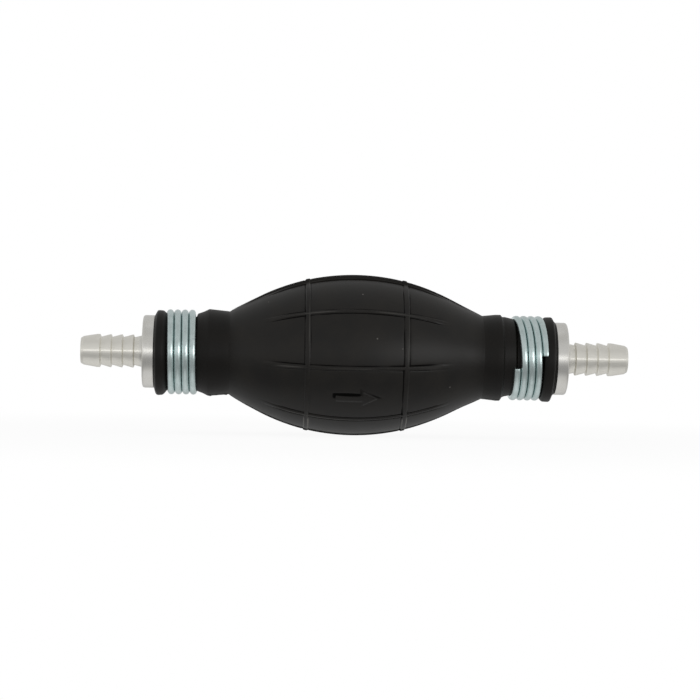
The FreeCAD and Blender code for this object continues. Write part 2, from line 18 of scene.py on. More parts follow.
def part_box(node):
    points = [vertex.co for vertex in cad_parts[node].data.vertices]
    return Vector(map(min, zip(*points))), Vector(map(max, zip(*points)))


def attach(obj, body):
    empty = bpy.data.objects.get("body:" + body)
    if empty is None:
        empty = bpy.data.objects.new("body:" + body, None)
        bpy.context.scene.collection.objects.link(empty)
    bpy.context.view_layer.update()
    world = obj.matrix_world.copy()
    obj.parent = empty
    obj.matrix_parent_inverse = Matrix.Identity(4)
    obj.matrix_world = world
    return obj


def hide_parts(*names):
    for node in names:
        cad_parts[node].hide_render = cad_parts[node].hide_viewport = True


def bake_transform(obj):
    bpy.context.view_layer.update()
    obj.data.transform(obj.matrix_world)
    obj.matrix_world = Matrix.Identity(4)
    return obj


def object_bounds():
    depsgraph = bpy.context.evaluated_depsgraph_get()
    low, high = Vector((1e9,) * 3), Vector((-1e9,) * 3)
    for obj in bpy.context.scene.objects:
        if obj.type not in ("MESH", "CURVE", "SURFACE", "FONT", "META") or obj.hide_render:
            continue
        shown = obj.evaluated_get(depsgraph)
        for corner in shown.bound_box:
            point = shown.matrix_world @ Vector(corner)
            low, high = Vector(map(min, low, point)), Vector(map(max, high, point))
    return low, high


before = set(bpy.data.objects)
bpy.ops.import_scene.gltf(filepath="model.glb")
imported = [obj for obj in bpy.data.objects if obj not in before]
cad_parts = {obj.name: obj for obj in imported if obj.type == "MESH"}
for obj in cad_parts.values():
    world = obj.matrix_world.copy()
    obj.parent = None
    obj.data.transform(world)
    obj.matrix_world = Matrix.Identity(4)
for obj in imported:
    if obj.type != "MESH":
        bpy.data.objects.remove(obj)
cad_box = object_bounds()
MM = 0.001

# %% [markdown]
# The solids already know how large the pump is, so the driving sizes are read from them. A size that
# the solids don't show on their outside, such as where the collar of the neck starts, is written here
# once, in millimetres, and every piece uses it from here.

# %% Sizes read from the solids
belly_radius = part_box("bulb_body")[1].z
neck_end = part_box("bulb_body")[1].x
tip_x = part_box("outlet_fitting")[1].x
flange_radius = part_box("outlet_fitting")[1].z
floor_z = cad_box[0].z
print(f"belly radius {belly_radius / MM:.2f} mm")
print(f"neck end {neck_end / MM:.2f} mm, tip {tip_x / MM:.2f} mm")

# %% [markdown]
# The picture was taken from about 0.7 m with a long lens, so the pump hardly shows perspective. The
# camera stands two degrees to the left of square-on and is rolled one degree, which is why the pump
# seems to sink a little to the right. A real lens and a real distance give the right overlap of the
# wire turns, which an orthographic camera can't.

# %% Camera
CAMERA_DISTANCE = 0.698
CAMERA_LENS = 125.0
CAMERA_SIDE_ANGLE = math.radians(-2.0)
CAMERA_ROLL = math.radians(-1.05)
PICTURE_CENTRE = Vector((-1.44 * MM, 0.0, 1.44 * MM))


def make_camera():
    data = bpy.data.cameras.new("picture_camera")
    data.lens = CAMERA_LENS
    data.clip_start = 0.05
    camera = bpy.data.objects.new("picture_camera", data)
    bpy.context.collection.objects.link(camera)
    towards_camera = Vector((math.sin(CAMERA_SIDE_ANGLE), -math.cos(CAMERA_SIDE_ANGLE), 0))
    facing = (-towards_camera).to_track_quat("-Z", "Y").to_matrix().to_4x4()
    place = Matrix.Translation(PICTURE_CENTRE + towards_camera * CAMERA_DISTANCE)
    camera.matrix_world = place @ facing @ Matrix.Rotation(-CAMERA_ROLL, 4, "Z")
    bpy.context.scene.camera = camera


make_camera()
bpy.context.scene.view_settings.view_transform = "Standard"

# %% [markdown]
# Finishes are node materials. Adding nodes one by one in Python is long and hard to read, so two small
# helpers do it: `Shade` wraps an output socket and turns + - * / into Math nodes, and `Finish` makes any
# other node from its type, its settings and its inputs. The maths of a finish then reads as maths.

# %% Helpers for finishes
class Shade:
    """An output socket whose sums and products are Math nodes."""

    def __init__(self, socket):
        self.socket = socket

    def maths(self, operation, *values):
        tree = self.socket.id_data
        node = tree.nodes.new("ShaderNodeMath")
        node.operation = operation
        for input_socket, value in zip(node.inputs, values):
            if isinstance(value, Shade):
                tree.links.new(value.socket, input_socket)
            else:
                input_socket.default_value = value
        return Shade(node.outputs[0])

    def __add__(self, other):
        return self.maths("ADD", self, other)

    def __sub__(self, other):
        return self.maths("SUBTRACT", self, other)

    def __mul__(self, other):
        return self.maths("MULTIPLY", self, other)

    def __truediv__(self, other):
        return self.maths("DIVIDE", self, other)

    def __pow__(self, other):
        return self.maths("POWER", self, other)

    def __rsub__(self, other):
        return self.maths("SUBTRACT", other, self)

    __radd__ = __add__
    __rmul__ = __mul__

    def above(self, edge, width):
        """0 below the edge, 1 above it, with a soft step as wide as given."""
        node = self.socket.id_data.nodes.new("ShaderNodeMapRange")
        node.interpolation_type = "SMOOTHSTEP"
        self.socket.id_data.links.new(self.socket, node.inputs[0])
        node.inputs[1].default_value = edge - width / 2
        node.inputs[2].default_value = edge + width / 2
        return Shade(node.outputs[0])


class Finish:
    """A material built from its nodes, or the nodes of the world."""

    def __init__(self, name, tree=None):
        if tree is None:
            self.material = bpy.data.materials.new(name)
            self.material.use_nodes = True
            tree = self.material.node_tree
        self.tree = tree
        tree.nodes.clear()

    def add(self, kind, settings=None, values=None, output=0):
        node = self.tree.nodes.new(f"ShaderNode{kind}")
        for name, setting in (settings or {}).items():
            if name == "stops":
                self.set_stops(node.color_ramp, setting)
            else:
                setattr(node, name, setting)
        for name, value in (values or {}).items():
            if isinstance(value, Shade):
                self.tree.links.new(value.socket, node.inputs[name])
            else:
                node.inputs[name].default_value = value
        return Shade(node.outputs[output]) if node.outputs else None

    def set_stops(self, ramp, stops):
        while len(ramp.elements) < len(stops):
            ramp.elements.new(1.0)
        for element, (position, colour) in zip(ramp.elements, stops):
            element.position = position
            element.color = (*colour, 1.0)

    def noise(self, place, scale, detail=2.0, roughness=0.5):
        return self.add("TexNoise", None, {
            "Vector": place, "Scale": scale, "Detail": detail, "Roughness": roughness,
        })

    def mix(self, share, first, second):
        """A colour between two colours. Colours given as numbers get their alpha here."""
        colours = [c if isinstance(c, Shade) else (*c, 1.0) for c in (first, second)]
        values = {0: share, 6: colours[0], 7: colours[1]}
        return self.add("Mix", {"data_type": "RGBA"}, values, output=2)

    def bump(self, height, distance, strength):
        values = {"Height": height, "Distance": distance, "Strength": strength}
        return self.add("Bump", None, values)

    def surface(self, shader):
        self.add("OutputMaterial", None, {"Surface": shader})
        return self.material


# %% [markdown]
# Turned metal and wound wire have marks that run round the axis of the pump. They need a place that is
# measured round that axis: how far along, how far out, and how far round. `around_axis` works it out
# from Object coordinates, so the marks stay on the piece when it moves.

# %% Coordinates round the flow axis
def around_axis(finish, along_scale, out_scale, round_scale):
    """A place for textures: along X, out from X and round X, each with its own scale."""
    place = finish.add("TexCoord", None, None, output="Object")
    parts = [finish.add("SeparateXYZ", None, {"Vector": place}, output=axis) for axis in "XYZ"]
    along, y, z = parts
    radius = (y * y + z * z) ** 0.5
    turn = y.maths("ARCTAN2", z, y)
    return finish.add("CombineXYZ", None, {
        "X": along * along_scale, "Y": radius * out_scale, "Z": turn * round_scale,
    })


# %% [markdown]
# The bulb is black nitrile rubber from a steel mould. Fresh rubber is satin, never glossy, and after a
# while a thin grey-brown bloom comes out of it. The mesh of the bulb carries an attribute, `tone`, that
# is below zero in the creases beside the ribs, where it paints shade, above zero on the rib edges, where
# it paints a highlight, and above one where it paints a paler highlight. A second one, `dull`, marks
# where the skin has no sheen and is darker, as painted shade. Small specks and a fine mould grain finish
# it.

# %% Rubber finish
NO_NECK = 1.0


def make_rubber(name, base, bloom, roughness, neck_start):
    """Rubber whose necks are more matt from neck_start outwards."""
    finish = Finish(name)
    place = finish.add("TexCoord", None, None, output="Object")
    tone = finish.add("Attribute", {"attribute_name": "tone"}, None, output="Fac")
    clouds = finish.noise(place, 140.0, 3.0, 0.55)
    patches = finish.noise(place, 620.0, 2.0)
    grain = finish.noise(place, 5200.0, 2.0, 0.6)
    bloom_share = clouds.above(0.5, 0.5) * 0.75 + patches * 0.25
    colour = finish.mix(bloom_share, base, bloom)
    specks = finish.add("TexVoronoi", None, {"Vector": place, "Scale": 260.0}, output="Distance")
    lucky = finish.noise(place, 90.0).above(0.55, 0.04)
    dust_and_highlight = (1.0 - specks.above(0.06, 0.03)) * lucky
    # Painted highlight on the rib edges, where tone is above 0.5.
    colour = finish.mix(tone.above(0.5, 0.8) * 0.8, colour, (0.06, 0.057, 0.052))
    # Paler painted highlight where tone is above 1.5: the feet of the ring ribs below and the lowest
    # line.
    colour = finish.mix(tone.above(1.5, 0.8) * 0.8, colour, (0.2, 0.19, 0.17))
    colour = finish.mix(dust_and_highlight * 0.6, colour, (0.16, 0.15, 0.14))
    rough = clouds * 0.12 + grain * 0.08 + (roughness - 0.1) + dust_and_highlight * 0.2
    bumps = finish.bump(grain * 0.55 + patches * 0.45, 0.03 * MM, 0.35)
    handled = finish.add("BsdfPrincipled", None, {
        "Base Color": colour, "Roughness": rough, "Specular IOR Level": 0.29, "Normal": bumps,
    })
    matt_colour = finish.mix(0.5, colour, base)
    matt = finish.add("BsdfPrincipled", None, {
        "Base Color": matt_colour, "Roughness": rough + 0.06, "Specular IOR Level": 0.19,
        "Normal": bumps,
    })
    # A near-black shader that the creases are mixed towards: painted shade.
    crease_shade = finish.add("BsdfPrincipled", None, {
        "Base Color": (0.001, 0.001, 0.001, 1.0), "Roughness": 0.8, "Specular IOR Level": 0.03,
    })
    # A dull, nearly sheenless shader that the `dull` mask mixes in along the rims: painted shade.
    sheenless_shade = finish.add("BsdfPrincipled", None, {
        "Base Color": matt_colour, "Roughness": 0.95, "Specular IOR Level": 0.04,
    })
    along = finish.add("SeparateXYZ", None, {"Vector": place}, output="X")
    on_neck = along.maths("ABSOLUTE", along).above(neck_start, 6 * MM)
    # Below zero, tone paints shade into the creases.
    crease = 1.0 - tone.above(-0.35, 0.5)
    dull = finish.add("Attribute", {"attribute_name": "dull"}, None, output="Fac")
    shader = finish.add("MixShader", None, {0: on_neck, 1: handled, 2: matt})
    shader = finish.add("MixShader", None, {0: dull, 1: shader, 2: sheenless_shade})
    shader = finish.add("MixShader", None, {0: crease * 0.9, 1: shader, 2: crease_shade})
    return finish.surface(shader)


bulb_rubber = make_rubber(
    "bulb_rubber", (0.0052, 0.0046, 0.0039), (0.0105, 0.0088, 0.0066), 0.41, 35 * MM,
)
seal_rubber = make_rubber(
    "seal_rubber", (0.012, 0.012, 0.012), (0.02, 0.019, 0.018), 0.35, NO_NECK,
)

# %% [markdown]
# The fittings are turned from bar. The tool leaves fine rings on every face, and bare aluminium takes
# on a faint warm tint where it was handled. The rings are a noise that is stretched round the axis:
# it changes quickly along and out, and hardly at all round. Hoses have been pushed over the barbs, so
# the tops of their fine rings are burnished and the grooves between them dull: two roughnesses mixed.
# The stems' colour is painted lighter than the flanges', as painted light for their brighter
# reflections.

# %% Turned metal finish
STEM_START = 61.5 * MM


def make_turned_metal(name, bright, dull, roughness, ring_depth):
    finish = Finish(name)
    fine = finish.noise(around_axis(finish, 9000.0, 9000.0, 0.6), 1.0, 3.0, 0.6)
    wide = finish.noise(around_axis(finish, 1500.0, 1500.0, 0.35), 1.0, 2.0)
    place = finish.add("TexCoord", None, None, output="Object")
    stain = finish.noise(place, 260.0, 3.0, 0.6)
    nicks = finish.noise(place, 1900.0, 2.0, 0.7).above(0.72, 0.05)
    colour = finish.mix(stain.above(0.52, 0.35), bright, dull)
    along = finish.add("SeparateXYZ", None, {"Vector": place}, output="X")
    on_stem = along.maths("ABSOLUTE", along).above(STEM_START, MM)
    # Beyond STEM_START the colour is painted lighter: painted light for the brighter reflections of the
    # stems.
    colour = finish.mix(on_stem * 0.8, colour, (0.94, 0.92, 0.85))
    colour = finish.mix(nicks * 0.5, colour, [c * 0.6 for c in dull])
    rough = fine * 0.14 + stain * 0.08 + (roughness - 0.1) + nicks * 0.1 + on_stem * 0.26
    bumps = finish.bump(fine * 0.6 + wide * 0.4 - nicks * 0.5, ring_depth, 0.8)
    turned = finish.add("BsdfPrincipled", None, {
        "Base Color": colour, "Roughness": rough, "Metallic": 1.0, "Normal": bumps,
    })
    burnished = finish.add("BsdfPrincipled", None, {
        "Base Color": colour, "Roughness": fine * 0.06 + 0.11, "Metallic": 1.0, "Normal": bumps,
    })
    shader = finish.add("MixShader", None, {0: on_stem * 0.36, 1: turned, 2: burnished})
    return finish.surface(shader)


turned_aluminium = make_turned_metal(
    "turned_aluminium", (0.79, 0.78, 0.745), (0.75, 0.735, 0.69), 0.26, 0.0012 * MM,
)
ring_steel = make_turned_metal(
    "ring_steel", (0.36, 0.36, 0.36), (0.24, 0.235, 0.22), 0.36, 0.003 * MM,
)

# %% [markdown]
# The clamps are drawn steel wire with a pale blue-green zinc plate. Drawing scratches the wire along
# its length, so on the wound clamp the scratches run round the axis and change across the wire. Plating
# is never even: it has duller patches and small dark spots where it was touched.

# %% Plated wire finish
def make_plated_wire(name, bright, dull, spot_colour, roughness):
    finish = Finish(name)
    scratches = finish.noise(around_axis(finish, 5200.0, 5200.0, 5.0), 1.0, 3.0, 0.65)
    place = finish.add("TexCoord", None, None, output="Object")
    clouds = finish.noise(place, 420.0, 3.0, 0.6)
    spots = finish.noise(place, 1500.0, 2.0, 0.65).above(0.66, 0.08)
    colour = finish.mix(clouds.above(0.5, 0.4), bright, dull)
    colour = finish.mix(spots * 0.45, colour, spot_colour)
    rough = scratches * 0.16 + clouds * 0.1 + (roughness - 0.12) + spots * 0.12
    shader = finish.add("BsdfPrincipled", None, {
        "Base Color": colour, "Roughness": rough, "Metallic": 1.0,
        "Normal": finish.bump(scratches * 0.7 + clouds * 0.3, 0.012 * MM, 0.7),
    })
    return finish.surface(shader)


zinc_wire = make_plated_wire(
    "zinc_wire", (0.67, 0.78, 0.775), (0.58, 0.68, 0.67), (0.34, 0.4, 0.4), 0.27,
)
spring_steel = make_plated_wire(
    "spring_steel", (0.7, 0.69, 0.66), (0.6, 0.59, 0.56), (0.4, 0.39, 0.37), 0.26,
)


# %% [markdown]
# The valve parts are moulded acetal, a waxy plastic that lets a little light into its skin. A faint
# cloudiness and very fine tool marks are enough for pieces that hide inside the fittings.

# %% Moulded plastic finish
def make_plastic(name, base, cloud, roughness):
    finish = Finish(name)
    place = finish.add("TexCoord", None, None, output="Object")
    clouds = finish.noise(place, 300.0, 2.0)
    grain = finish.noise(around_axis(finish, 6000.0, 6000.0, 1.0), 1.0, 2.0)
    colour = finish.mix(clouds.above(0.5, 0.6), base, cloud)
    shader = finish.add("BsdfPrincipled", None, {
        "Base Color": colour, "Roughness": clouds * 0.1 + grain * 0.08 + (roughness - 0.09),
        "Normal": finish.bump(grain, 0.006 * MM, 0.5),
    })
    return finish.surface(shader)


valve_plastic = make_plastic("valve_plastic", (0.78, 0.77, 0.72), (0.7, 0.69, 0.63), 0.4)
poppet_plastic = make_plastic("poppet_plastic", (0.03, 0.03, 0.032), (0.05, 0.05, 0.052), 0.38)

# %% [markdown]
# Every turned or moulded piece here starts as an outline of a few corners. A real corner is never
# sharp, so each one may have a round, and `rounded` replaces the corner with a short arc. `stepped`
# then divides the long stretches, so the mesh is fine enough to carry small unevenness.

# %% Helpers for outlines
ROUND_SEGMENTS = 3


def rounded(corners):
    """Points of an open outline. A corner is (x, radius) or (x, radius, size of its round)."""
    points = []
    for index, corner in enumerate(corners):
        spot = Vector(corner[:2])
        if len(corner) == 2 or index in (0, len(corners) - 1):
            points.append(spot)
            continue
        before = (Vector(corners[index - 1][:2]) - spot).normalized()
        after = (Vector(corners[index + 1][:2]) - spot).normalized()
        half_corner = before.angle(after) / 2
        reach = corner[2] / math.tan(half_corner)
        centre = spot + (before + after).normalized() * (corner[2] / math.sin(half_corner))
        start = spot + before * reach - centre
        sweep = start.angle_signed(spot + after * reach - centre)
        for step in range(ROUND_SEGMENTS + 1):
            points.append(centre + Matrix.Rotation(-sweep * step / ROUND_SEGMENTS, 2) @ start)
    return points


def stepped(points, longest):
    """The same outline with extra points, so that no stretch is longer than given."""
    result = [points[0]]
    for start, end in zip(points, points[1:]):
        count = max(1, math.ceil((end - start).length / longest))
        result += [start.lerp(end, step / count) for step in range(1, count + 1)]
    return result


def smooth_step(value):
    value = min(1.0, max(0.0, value))
    return value * value * (3 - 2 * value)


def finished_object(name, bm, material, sharp_angle=35.0):
    """Turn a bmesh into a smooth-shaded object that keeps its sharp edges."""
    bmesh.ops.recalc_face_normals(bm, faces=bm.faces)
    mesh = bpy.data.meshes.new(name)
    bm.to_mesh(mesh)
    bm.free()
    mesh.materials.append(material)
    mesh.polygons.foreach_set("use_smooth", [True] * len(mesh.polygons))
    mesh.set_sharp_from_angle(angle=math.radians(sharp_angle))
    piece = bpy.data.objects.new(name, mesh)
    bpy.context.collection.objects.link(piece)
    print(f"{name}: {len(mesh.polygons)} faces")
    return piece


# %% [markdown]
# The bulb comes out of a mould in two halves, and where the halves met there is a fine line. It runs
# along the top, a little behind the highest point, and along the bottom. The bulb is built here as the
# same two halves, so the line falls where it does on the real one. A hand presses the front and the
# back in, and neither moves the top, the bottom or the necks.
#
# One half is an outline that goes along the outside and back along the inside, spun half a turn. The
# ribs need fine steps and the plain rubber between them doesn't, so the spin is made in stretches.

# %% Sizes of the bulb
MERIDIAN_ARC = 60.6 * MM
CONE_ANGLE = math.radians(26.6)
WALL = 2.3 * MM
NECK_BORE = 7.9 * MM
THROAT_X = 40.0 * MM
LAND_RADIUS = 10.15 * MM
CONE_X = MERIDIAN_ARC * math.sin(CONE_ANGLE)
ARC_DROP = MERIDIAN_ARC - belly_radius
NOTCH_X = 36.4 * MM
NOTCH_RADIUS = 11.95 * MM

PARTING_ANGLE = 101.4
RIB_HEIGHT = 0.22 * MM
CREASE_DEPTH = 0.13 * MM
RING_RIB_X = 13.9 * MM
# Of each bar, from its middle: half of its flat top, half of its foot, the crease beside it, the width
# of that crease, and the place of its painted highlight.
RING_BAR = (0.42 * MM, 0.74 * MM, 0.87 * MM, 0.15 * MM, 0.4 * MM)
LONG_BAR = (0.26 * MM, 0.52 * MM, 0.66 * MM, 0.15 * MM, -0.08 * MM)
ARROW_BAR = (0.26 * MM, 0.52 * MM, 0.8 * MM, 0.42 * MM, 0.3 * MM)
HIGHLIGHT_WIDTH = 0.2 * MM
# Angle of each lengthwise rib, and how deep its lower and upper crease are, which also sets how dark
# their painted shade is.
LONG_RIBS = ((69.9, 0.7, 1.2), (32.25, 1.0, 0.5), (-9.35, 0.5, 1.0), (-51.6, 1.0, 0.9))
RIB_ANGLES = [rib[0] for rib in LONG_RIBS]
# How deep the left and the right crease of each ring rib are, above and below the third long rib,
# which also sets how dark their painted shade is.
RING_CREASES = {-1: ((0.7, 0.55), (0.25, 0.3)), 1: ((0.8, 0.6), (1.1, 0.25))}
RIB_FADE_START = 19.0 * MM
RIB_FADE_END = 27.5 * MM

ARROW_ANGLE = -32.0
ARROW_TAIL_X = -5.85 * MM
ARROW_HEAD_X = 1.7 * MM
ARROW_TIP_X = 5.7 * MM
ARROW_SHAFT_HALF = 0.83 * MM
ARROW_HEAD_HALF = 2.1 * MM


def belly_surface(x):
    """Outer radius between the necks: an arc, then a straight cone down to the notch."""
    x = abs(x)
    if x < CONE_X:
        return math.sqrt(MERIDIAN_ARC**2 - x**2) - ARC_DROP
    cone_top = math.sqrt(MERIDIAN_ARC**2 - CONE_X**2) - ARC_DROP
    return cone_top + (NOTCH_RADIUS - cone_top) * (x - CONE_X) / (NOTCH_X - CONE_X)


# %% [markdown]
# A rib is a low bar with sloping sides, and the cutter that made it in the mould left a fine crease
# along each foot. `bar_relief` gives the height, the depth of the crease and a painted highlight at a
# distance from the middle of the bar. Where two ribs cross, the higher surface wins and the creases
# stop, as they do on the real bulb. The creases also get painted shade. Along the top, beyond the
# highest rib, and along the bottom, the skin is painted dull and dark as painted shade. The rib tops,
# the feet of the ring ribs below and the lowest line of the belly get painted highlights.

# %% Relief of the bulb
RELIEF_REACH = 2 * MM
VARIATION_LENGTH = 5 * MM
# Painted highlight of the ring ribs: all round, the extra at the front, and how far round that reaches.
RING_HIGHLIGHT = (0.7, 0.8, 12)
# Painted shade beside the arrow: everywhere, more along its upper edge, and the share that its head
# lacks.
ARROW_SHADE = (0.2, 1.5, 0.65)
ARROW_SHADE_END = ARROW_HEAD_X - 1.1 * MM
ARROW_SHADE_FADE = 0.6 * MM
# Painted highlight on the feet of the ring ribs below: place and width from the rib's middle, and tone.
RING_FOOT_HIGHLIGHT = (0.62 * MM, 0.22 * MM, 2.2)
RING_FOOT_HIGHLIGHT_ANGLE = -53
# Painted highlight along the lowest line, a painted reflection of the pale floor: angle and width in
# degrees, and tone.
LOWEST_HIGHLIGHT = (PARTING_ANGLE - 176.2, 1.6, 0.75)
LOWEST_HIGHLIGHT_END = 24 * MM
# The dull, darker skin along the rims, which is painted shade. A pair is the angle where an edge starts
# and the angle over which it fades.
DULL_SHARE = 0.94
DULL_UPPER = (RIB_ANGLES[0] - 6, 7)
DULL_UPPER_FADE = 13
DULL_LOWER_START = PARTING_ANGLE - 177.3
DULL_BACK = (PARTING_ANGLE - 19, 8)
DULL_NECK_FADE = 7 * MM


def bar_relief(distance, bar, crease_before=1.0, crease_after=1.0):
    """Height of a bar, depth of its crease and its painted highlight, beside its middle."""
    top_half, foot_half, crease_at, crease_width, highlight_at = bar
    height = RIB_HEIGHT * (1 - smooth_step((abs(distance) - top_half) / (foot_half - top_half)))
    crease = math.exp(-((abs(distance) - crease_at) / crease_width) ** 2)
    painted_highlight = math.exp(-((distance - highlight_at) / HIGHLIGHT_WIDTH) ** 2)
    return height, crease * (crease_before if distance < 0 else crease_after), painted_highlight


def arrow_distance(along, across):
    """Distance outside the arrow's edge, negative inside it."""
    shaft = max(ARROW_TAIL_X - along, along - ARROW_HEAD_X - MM, abs(across) - ARROW_SHAFT_HALF)
    head_length = ARROW_TIP_X - ARROW_HEAD_X
    slant = math.hypot(head_length, ARROW_HEAD_HALF)
    past_side = (abs(across) * head_length - (ARROW_TIP_X - along) * ARROW_HEAD_HALF) / slant
    head = max(ARROW_HEAD_X - along, past_side)
    return min(shaft, head)


def dull_shade(x, angle, front):
    """How dull and dark the skin is, 0 to 1, as painted shade beside the parting lines, narrower towards
    the necks.
    """
    if front:
        start, width = DULL_UPPER
        narrowing = 4 * smooth_step((abs(x) - 15 * MM) / (12 * MM))
        upper = smooth_step((angle - start - narrowing) / width)
        upper *= smooth_step((PARTING_ANGLE - angle) / DULL_UPPER_FADE)
        dull = max(upper, smooth_step(DULL_LOWER_START - angle))
    else:
        start, width = DULL_BACK
        dull = smooth_step((angle - start) / width)
    return DULL_SHARE * dull * smooth_step((NOTCH_X - MM - abs(x)) / DULL_NECK_FADE)


def lower_highlights(x, angle):
    """Painted highlight on the feet of the ring ribs below and along the lowest line of the belly."""
    place, width, tone = RING_FOOT_HIGHLIGHT
    from_ring = abs(abs(x) - RING_RIB_X)
    on_feet = tone * math.exp(-((from_ring - place) / width) ** 2)
    on_feet *= smooth_step((RING_FOOT_HIGHLIGHT_ANGLE - angle) / 5)
    place, width, tone = LOWEST_HIGHLIGHT
    lowest = tone * math.exp(-((angle - place) / width) ** 2)
    return on_feet + lowest * smooth_step((LOWEST_HIGHLIGHT_END - abs(x)) / (8 * MM))


def surface_relief(x, angle, radius, front):
    """Height of the bulb's skin over its plain shape, and its tone: painted shade below 0, highlight
    above.
    """
    side = math.copysign(1, x)
    creases = RING_CREASES[side][angle < RIB_ANGLES[2]]
    height, crease, painted_highlight = bar_relief(x - side * RING_RIB_X, RING_BAR, *creases)
    all_round, at_front, width = RING_HIGHLIGHT
    bars = [(height, crease, painted_highlight * (all_round + at_front * math.exp(-(angle / width) ** 2)))]
    fade = 1 - smooth_step((abs(x) - RIB_FADE_START) / (RIB_FADE_END - RIB_FADE_START))
    for rib_angle, lower_crease, upper_crease in LONG_RIBS:
        across = math.radians(angle - rib_angle) * radius
        if abs(across) < RELIEF_REACH:
            bar = bar_relief(across, LONG_BAR, lower_crease, upper_crease)
            bars.append([value * fade for value in bar])
    if front:
        across = math.radians(angle - ARROW_ANGLE) * radius
        edge = arrow_distance(x, across)
        if edge < RELIEF_REACH:
            middle = (ARROW_BAR[0] + ARROW_BAR[1]) / 2
            # The arrow's crease gets painted shade, more along its upper edge, and its lower edge a
            # painted highlight.
            upper = smooth_step(across / MM + 0.5)
            on_head = smooth_step((x - ARROW_SHADE_END) / ARROW_SHADE_FADE)
            everywhere, along_top, head_lacks = ARROW_SHADE
            edge_shade = everywhere + along_top * upper * (1 - head_lacks * on_head)
            height, crease, painted_highlight = bar_relief(max(0.0, edge + middle), ARROW_BAR, 0.0, edge_shade)
            bars.append((height, crease, painted_highlight * (1 - upper)))
    height, crease, painted_highlight = (max(bar[kind] for bar in bars) for kind in range(3))
    place = Vector((x, math.radians(angle) * radius, 0)) / VARIATION_LENGTH
    crease *= (0.75 + 0.7 * noise.noise(place)) * (1 - height / RIB_HEIGHT)
    painted_highlight *= 0.45 + 0.9 * noise.noise(place * 0.6 + Vector((7, 3, 0)))
    # Painted highlights low on the front half.
    dust_and_highlight = lower_highlights(x, angle) if front else 0.0
    return height - CREASE_DEPTH * crease, painted_highlight - crease + dust_and_highlight


# %% [markdown]
# The outline is the same for both halves. Its rows are close together where the ring ribs and the
# arrow are, and wider on the plain cone. The necks differ: the outlet's has a clear step beside the
# wire, and the inlet's slopes down more softly. Past the wire the rubber swells into a round bead.

# %% Outline of the moulding
RIB_STEPS = [
    step * MM for step in (0.0, 0.13, 0.26, 0.35, 0.43, 0.51, 0.58, 0.65, 0.72, 0.8, 0.88, 0.98, 1.15)
]
PLAIN_ROW = 0.9 * MM
ARROW_ROW = 0.25 * MM
NECK_ROW = 0.55 * MM


def belly_rows():
    """Positions along the bulb's outside, close together over the ribs and the arrow."""
    rows = set()
    for step in RIB_STEPS:
        rows |= {side * RING_RIB_X + way * step for side in (-1, 1) for way in (-1, 1)}
    clear_of = sorted(rows)
    position = -NOTCH_X + 0.5 * MM
    while position < NOTCH_X - 0.4 * MM:
        if all(abs(position - row) > 0.12 * MM for row in clear_of):
            rows.add(position)
        over_arrow = ARROW_TAIL_X - MM < position < ARROW_TIP_X + MM
        position += ARROW_ROW if over_arrow else PLAIN_ROW
    return sorted(rows)


OUTLET_NECK = [
    (NOTCH_X, NOTCH_RADIUS, 0.4 * MM),
    (40.3 * MM, 12.35 * MM, 1.2 * MM),
    (41.6 * MM, 12.35 * MM, 0.3 * MM),
    (42.2 * MM, 11.6 * MM, 0.4 * MM),
    (45.4 * MM, 10.9 * MM, 0.3 * MM),
    (45.9 * MM, LAND_RADIUS, 0.3 * MM),
    (53.2 * MM, LAND_RADIUS, 0.3 * MM),
    (53.6 * MM, 11.5 * MM, 0.5 * MM),
    (54.4 * MM, 12.15 * MM, 0.9 * MM),
    (56.3 * MM, 12.2 * MM, 0.5 * MM),
    (56.8 * MM, 11.2 * MM, 0.3 * MM),
    (56.75 * MM, 10.6 * MM, 0.15 * MM),
    (57.0 * MM, 10.8 * MM, 0.12 * MM),
    (neck_end, 10.4 * MM, 0.1 * MM),
    (neck_end, NECK_BORE),
]
INLET_NECK = [
    (NOTCH_X - 0.4 * MM, NOTCH_RADIUS - 0.05 * MM, 0.4 * MM),
    (41.9 * MM, 12.45 * MM, 0.8 * MM),
    (43.3 * MM, 11.75 * MM, 0.8 * MM),
    (45.2 * MM, 11.05 * MM, 0.4 * MM),
    (45.5 * MM, LAND_RADIUS, 0.3 * MM),
    (53.2 * MM, LAND_RADIUS, 0.2 * MM),
    (53.5 * MM, 10.8 * MM, 0.2 * MM),
    (54.9 * MM, 12.1 * MM, 1.0 * MM),
    (56.65 * MM, 12.2 * MM, 0.7 * MM),
    (neck_end, 10.6 * MM, 0.3 * MM),
    (neck_end, NECK_BORE),
]
RIDGE_FEET = [(42.5 + 4 * number) * MM for number in range(3)]
HOLLOW_STEPS = 18


def neck_points(corners):
    """A neck's outline from the notch to the end, starting on the cone just before the notch."""
    lead_in = NOTCH_X - 1.4 * MM
    return stepped(rounded([(lead_in, belly_surface(lead_in))] + corners), NECK_ROW)[1:]


def bore_points():
    """The inside from neck to neck: the sawtooth grooves of the spigots and the hollow belly."""
    neck = [(neck_end, NECK_BORE)]
    for foot in reversed(RIDGE_FEET):
        neck += [(foot + 2.3 * MM, NECK_BORE), (foot + 2.3 * MM, 8.3 * MM)]
        neck += [(foot + 2.0 * MM, 8.3 * MM), (foot, NECK_BORE)]
    neck.append((THROAT_X, NECK_BORE))
    inner_arc = MERIDIAN_ARC - WALL
    cone_x = inner_arc * math.sin(CONE_ANGLE)
    rows = [cone_x * (1 - 2 * step / HOLLOW_STEPS) for step in range(HOLLOW_STEPS + 1)]
    belly = [(x, math.sqrt(inner_arc**2 - x**2) - ARC_DROP) for x in rows]
    other_neck = [(-x, radius) for x, radius in reversed(neck)]
    return [Vector(point) for point in neck[1:] + belly + other_neck[:-1]]


